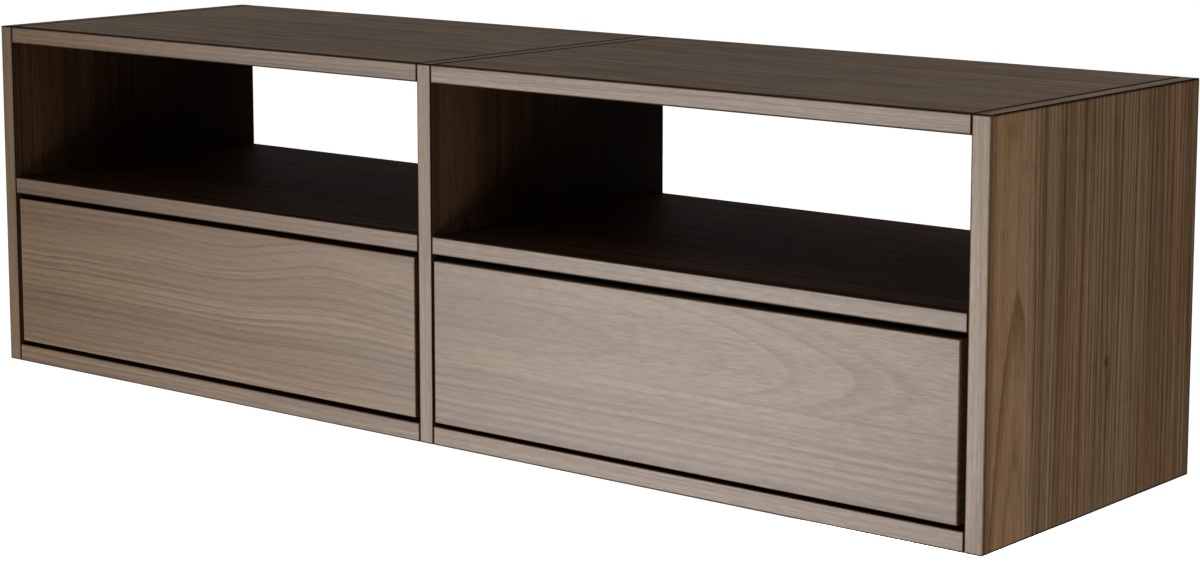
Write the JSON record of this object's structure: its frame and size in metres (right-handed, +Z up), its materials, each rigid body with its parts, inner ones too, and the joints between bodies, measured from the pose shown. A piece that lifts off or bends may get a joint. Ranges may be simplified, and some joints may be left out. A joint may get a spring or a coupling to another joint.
{
  "type": "floating media console",
  "caption": "Wall-hung media console with open niches over inset push-latch drawers on ball-bearing slides, hung on bevelled cleats.",
  "frame": {"origin": "on the wall plane, at the middle of the console's width, at the height of the wall screws: a point of the divider's rear edge", "axes": "+X to the right along the console, +Y into the wall, +Z up"},
  "size_m": [1.4, 0.4035, 0.412],
  "materials": {
    "walnut_front": "matt lacquered walnut veneer, grain along X",
    "walnut_level": "matt lacquered walnut veneer, grain along X",
    "walnut_upright": "matt lacquered walnut veneer, grain upright",
    "back_board": "walnut veneered board",
    "drawer_box": "lacquered birch plywood",
    "cleat_wood": "planed birch plywood",
    "beech": "sawn beech",
    "slide_steel": "zinc plated rolled steel",
    "cage_steel": "zinc plated strip",
    "screw_steel": "zinc plated",
    "latch_body": "moulded",
    "latch_tip": "moulded"
  },
  "bodies": {
    "cabinet": {"left_side_panel": "walnut_upright", "centre_divider": "walnut_upright", "right_side_panel": "walnut_upright", "left_side_lipping": "walnut_upright", "centre_divider_lipping": "walnut_upright", "right_side_lipping": "walnut_upright", "carcass_tenons": "beech", "left_top_panel": "walnut_level", "left_top_lipping": "walnut_level", "left_shelf": "walnut_level", "left_shelf_lipping": "walnut_level", "left_bottom_panel": "walnut_level", "left_bottom_lipping": "walnut_level", "left_back_panel": "back_board", "left_cabinet_cleat": "cleat_wood", "left_wall_cleat": "cleat_wood", "left_drawer_left_slide_outer_member": "slide_steel", "left_drawer_right_slide_outer_member": "slide_steel", "left_latch_housing": "latch_body", "right_top_panel": "walnut_level", "right_top_lipping": "walnut_level", "right_shelf": "walnut_level", "right_shelf_lipping": "walnut_level", "right_bottom_panel": "walnut_level", "right_bottom_lipping": "walnut_level", "right_back_panel": "back_board", "right_cabinet_cleat": "cleat_wood", "right_wall_cleat": "cleat_wood", "right_drawer_left_slide_outer_member": "slide_steel", "right_drawer_right_slide_outer_member": "slide_steel", "right_latch_housing": "latch_body"},
    "left_drawer": {"left_drawer_front": "walnut_front", "left_drawer_box_front": "drawer_box", "left_drawer_left_side": "drawer_box", "left_drawer_right_side": "drawer_box", "left_drawer_back": "drawer_box", "left_drawer_bottom": "drawer_box", "left_drawer_front_screws": "screw_steel", "left_drawer_left_slide_inner_member": "slide_steel", "left_drawer_right_slide_inner_member": "slide_steel"},
    "left_middle_members": {"left_drawer_left_slide_middle_member": "slide_steel", "left_drawer_right_slide_middle_member": "slide_steel"},
    "left_outer_cages": {"left_drawer_outer_ball_cages": "cage_steel"},
    "left_inner_cages": {"left_drawer_inner_ball_cages": "cage_steel"},
    "left_plunger": {"left_latch_plunger": "latch_tip"},
    "right_drawer": {"right_drawer_front": "walnut_front", "right_drawer_box_front": "drawer_box", "right_drawer_left_side": "drawer_box", "right_drawer_right_side": "drawer_box", "right_drawer_back": "drawer_box", "right_drawer_bottom": "drawer_box", "right_drawer_front_screws": "screw_steel", "right_drawer_left_slide_inner_member": "slide_steel", "right_drawer_right_slide_inner_member": "slide_steel"},
    "right_middle_members": {"right_drawer_left_slide_middle_member": "slide_steel", "right_drawer_right_slide_middle_member": "slide_steel"},
    "right_outer_cages": {"right_drawer_outer_ball_cages": "cage_steel"},
    "right_inner_cages": {"right_drawer_inner_ball_cages": "cage_steel"},
    "right_plunger": {"right_latch_plunger": "latch_tip"}
  },
  "joints": [
    {"name": "left_drawer_slide", "type": "slide", "parent": "cabinet", "child": "left_drawer", "axis": [0, -1, 0], "range_m": [-0.003, 0.3]},
    {"name": "left_middle_members_slide", "type": "slide", "parent": "cabinet", "child": "left_middle_members", "axis": [0, -1, 0], "range_m": [-0.00151, 0.15001]},
    {"name": "left_outer_cages_slide", "type": "slide", "parent": "cabinet", "child": "left_outer_cages", "axis": [0, -1, 0], "range_m": [-0.00076, 0.07501]},
    {"name": "left_inner_cages_slide", "type": "slide", "parent": "cabinet", "child": "left_inner_cages", "axis": [0, -1, 0], "range_m": [-0.00226, 0.22501]},
    {"name": "left_latch_press", "type": "slide", "parent": "cabinet", "child": "left_plunger", "axis": [0, 1, 0], "range_m": [0, 0.003], "stiffness_N_per_m": 300, "springref_m": -0.002},
    {"name": "right_drawer_slide", "type": "slide", "parent": "cabinet", "child": "right_drawer", "axis": [0, -1, 0], "range_m": [-0.0065, 0.2965]},
    {"name": "right_middle_members_slide", "type": "slide", "parent": "cabinet", "child": "right_middle_members", "axis": [0, -1, 0], "range_m": [-0.00326, 0.14826]},
    {"name": "right_outer_cages_slide", "type": "slide", "parent": "cabinet", "child": "right_outer_cages", "axis": [0, -1, 0], "range_m": [-0.00163, 0.07414]},
    {"name": "right_inner_cages_slide", "type": "slide", "parent": "cabinet", "child": "right_inner_cages", "axis": [0, -1, 0], "range_m": [-0.00488, 0.22238]},
    {"name": "right_latch_press", "type": "slide", "parent": "cabinet", "child": "right_plunger", "axis": [0, 1, 0], "range_m": [0, 0.003], "stiffness_N_per_m": 300, "springref_m": -0.002}
  ],
  "couplings": [
    {"joint": "left_middle_members_slide", "follows": "left_drawer_slide", "ratio": 0.5},
    {"joint": "left_outer_cages_slide", "follows": "left_drawer_slide", "ratio": 0.25},
    {"joint": "left_inner_cages_slide", "follows": "left_drawer_slide", "ratio": 0.75},
    {"joint": "right_middle_members_slide", "follows": "right_drawer_slide", "ratio": 0.5},
    {"joint": "right_outer_cages_slide", "follows": "right_drawer_slide", "ratio": 0.25},
    {"joint": "right_inner_cages_slide", "follows": "right_drawer_slide", "ratio": 0.75}
  ]
}
